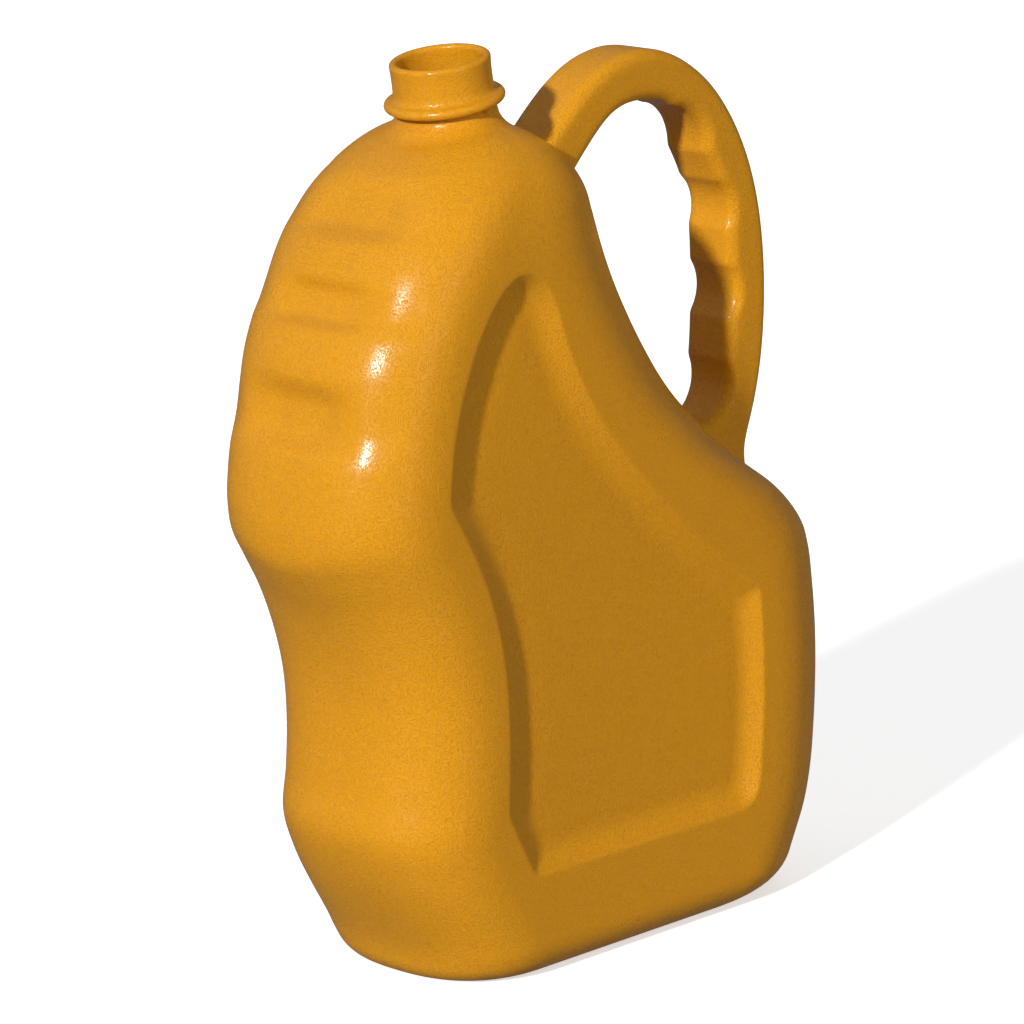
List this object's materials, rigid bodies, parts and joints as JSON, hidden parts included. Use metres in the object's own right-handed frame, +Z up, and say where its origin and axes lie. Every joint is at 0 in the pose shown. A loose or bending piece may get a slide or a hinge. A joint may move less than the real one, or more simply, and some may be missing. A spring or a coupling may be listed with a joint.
{
  "type": "oil jug",
  "caption": "Upright blow-moulded plastic oil jug with an open tilted neck, a grooved front grip, recessed side panels and a loop handle at the back.",
  "frame": {"origin": "on the floor plane, in the middle plane of the thickness, 56 mm behind the front edge of the flat base", "axes": "+Z up, +X from the front grip towards the handle, -Y the broad side that is seen"},
  "size_m": [0.2755, 0.095, 0.342],
  "materials": {
    "jug_plastic": "satin amber yellow polyethylene with a fine moulded grain"
  },
  "bodies": {
    "root": {"bottle_body": "jug_plastic", "neck_fitting": "jug_plastic", "handle": "jug_plastic"}
  },
  "joints": []
}
